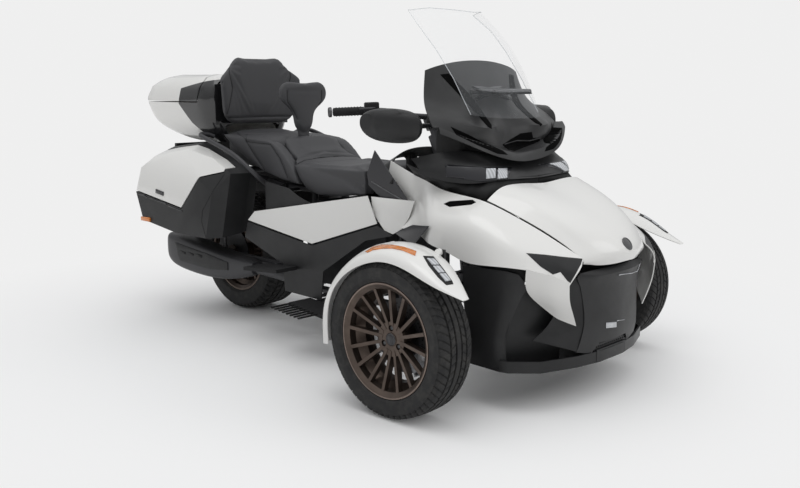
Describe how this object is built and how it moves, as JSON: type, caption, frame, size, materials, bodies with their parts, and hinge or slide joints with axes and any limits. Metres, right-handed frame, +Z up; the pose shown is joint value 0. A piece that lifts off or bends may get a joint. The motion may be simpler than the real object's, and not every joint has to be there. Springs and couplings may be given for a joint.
{
  "type": "motorized trike",
  "caption": "Touring motorcycle with two steered front wheels and one driven rear wheel, two saddles, screen, side cases and a top case.",
  "frame": {"origin": "on the ground under the middle of the overall length and width", "axes": "+X forward, +Y to the left side, +Z up"},
  "size_m": [2.828, 1.567, 1.459],
  "materials": {
    "alloy": "satin",
    "bronze_alloy": "metallic satin",
    "clear": "clear",
    "dark_panel": "satin",
    "engine_metal": "as cast",
    "frame_paint": "satin",
    "gloss_black": "gloss",
    "red_lens": "clear",
    "rubber": "matte",
    "seat_cover": "fine grain",
    "steel": "brushed",
    "tyre": "matte",
    "white_panel": "gloss pearl"
  },
  "bodies": {
    "chassis": {"frame": "frame_paint", "engine_block": "engine_metal", "front_bumper": "dark_panel", "side_fairings": "white_panel", "trunk_bin": "dark_panel", "headlamp_cowl": "dark_panel", "headlamp_lenses": "clear", "screen_cowl": "dark_panel", "windscreen": "clear", "instrument_panel": "dark_panel", "mirrors": "dark_panel", "knee_panels": "gloss_black", "centre_console": "dark_panel", "lower_side_panels": "dark_panel", "seat_side_panels": "white_panel", "rear_side_panels": "dark_panel", "driver_seat": "seat_cover", "passenger_seat": "seat_cover", "driver_backrest": "seat_cover", "passenger_backrest": "seat_cover", "grab_handles": "frame_paint", "footboards": "rubber", "tail_section": "dark_panel", "tail_lamps": "red_lens", "side_case_right": "dark_panel", "side_case_left": "dark_panel", "top_case": "dark_panel", "muffler": "frame_paint", "swing_arm": "frame_paint", "dampers": "steel", "drive_belt": "rubber", "suspension_arms": "frame_paint"},
    "bonnet": {"bonnet": "white_panel"},
    "top_case_lid": {"top_case_lid": "white_panel"},
    "side_case_lid_right": {"side_case_lid_right": "white_panel"},
    "side_case_lid_left": {"side_case_lid_left": "white_panel"},
    "handlebar": {"handlebar": "frame_paint", "grips": "rubber"},
    "knuckle_right": {"knuckle_right": "alloy", "mudguard_right": "white_panel"},
    "knuckle_left": {"knuckle_left": "alloy", "mudguard_left": "white_panel"},
    "front_wheel_right": {"front_rim_right": "bronze_alloy", "front_tyre_right": "tyre", "front_disc_right": "steel"},
    "front_wheel_left": {"front_rim_left": "bronze_alloy", "front_tyre_left": "tyre", "front_disc_left": "steel"},
    "rear_wheel": {"rear_rim": "bronze_alloy", "rear_tyre": "tyre", "rear_disc": "steel"},
    "tie_rod_right": {"tie_rod_right": "steel"},
    "tie_rod_left": {"tie_rod_left": "steel"}
  },
  "joints": [
    {"name": "steering", "type": "hinge", "parent": "chassis", "child": "handlebar", "pos_m": [0.436, 0, 1.01], "axis": [-0.4226, 0, 0.9063], "range_deg": [-26, 26]},
    {"name": "steer_right", "type": "hinge", "parent": "chassis", "child": "knuckle_right", "pos_m": [0.906, -0.632, 0.281], "axis": [0, 0, 1], "range_deg": [-23.4, 23.4]},
    {"name": "steer_left", "type": "hinge", "parent": "chassis", "child": "knuckle_left", "pos_m": [0.906, 0.632, 0.281], "axis": [0, 0, 1], "range_deg": [-23.4, 23.4]},
    {"name": "wheel_right", "type": "hinge", "parent": "knuckle_right", "child": "front_wheel_right", "pos_m": [0.906, -0.692, 0.281], "axis": [0, 1, 0], "continuous": true},
    {"name": "wheel_left", "type": "hinge", "parent": "knuckle_left", "child": "front_wheel_left", "pos_m": [0.906, 0.692, 0.281], "axis": [0, 1, 0], "continuous": true},
    {"name": "wheel_rear", "type": "hinge", "parent": "chassis", "child": "rear_wheel", "pos_m": [-0.808, 0, 0.303], "axis": [0, 1, 0], "continuous": true},
    {"name": "tie_right", "type": "hinge", "parent": "knuckle_right", "child": "tie_rod_right", "pos_m": [0.796, -0.6, 0.24], "axis": [0, 0, 1], "range_deg": [-23.4, 23.4]},
    {"name": "tie_left", "type": "hinge", "parent": "knuckle_left", "child": "tie_rod_left", "pos_m": [0.796, 0.6, 0.24], "axis": [0, 0, 1], "range_deg": [-23.4, 23.4]},
    {"name": "bonnet_hinge", "type": "hinge", "parent": "chassis", "child": "bonnet", "pos_m": [1.022, 0, 0.766], "axis": [0, -1, 0], "range_deg": [0, 50]},
    {"name": "top_case_hinge", "type": "hinge", "parent": "chassis", "child": "top_case_lid", "pos_m": [-0.839, 0, 1.226], "axis": [0, 1, 0], "range_deg": [0, 50]},
    {"name": "side_lid_hinge_right", "type": "hinge", "parent": "chassis", "child": "side_case_lid_right", "pos_m": [-0.784, -0.456, 0.56], "axis": [0.9905, 0, -0.1377], "range_deg": [0, 60]},
    {"name": "side_lid_hinge_left", "type": "hinge", "parent": "chassis", "child": "side_case_lid_left", "pos_m": [-0.784, 0.456, 0.56], "axis": [-0.9905, 0, 0.1377], "range_deg": [0, 60]}
  ],
  "couplings": [
    {"joint": "steer_right", "follows": "steering", "ratio": 0.9},
    {"joint": "steer_left", "follows": "steering", "ratio": 0.9},
    {"joint": "tie_right", "follows": "steering", "ratio": -0.9},
    {"joint": "tie_left", "follows": "steering", "ratio": -0.9}
  ]
}
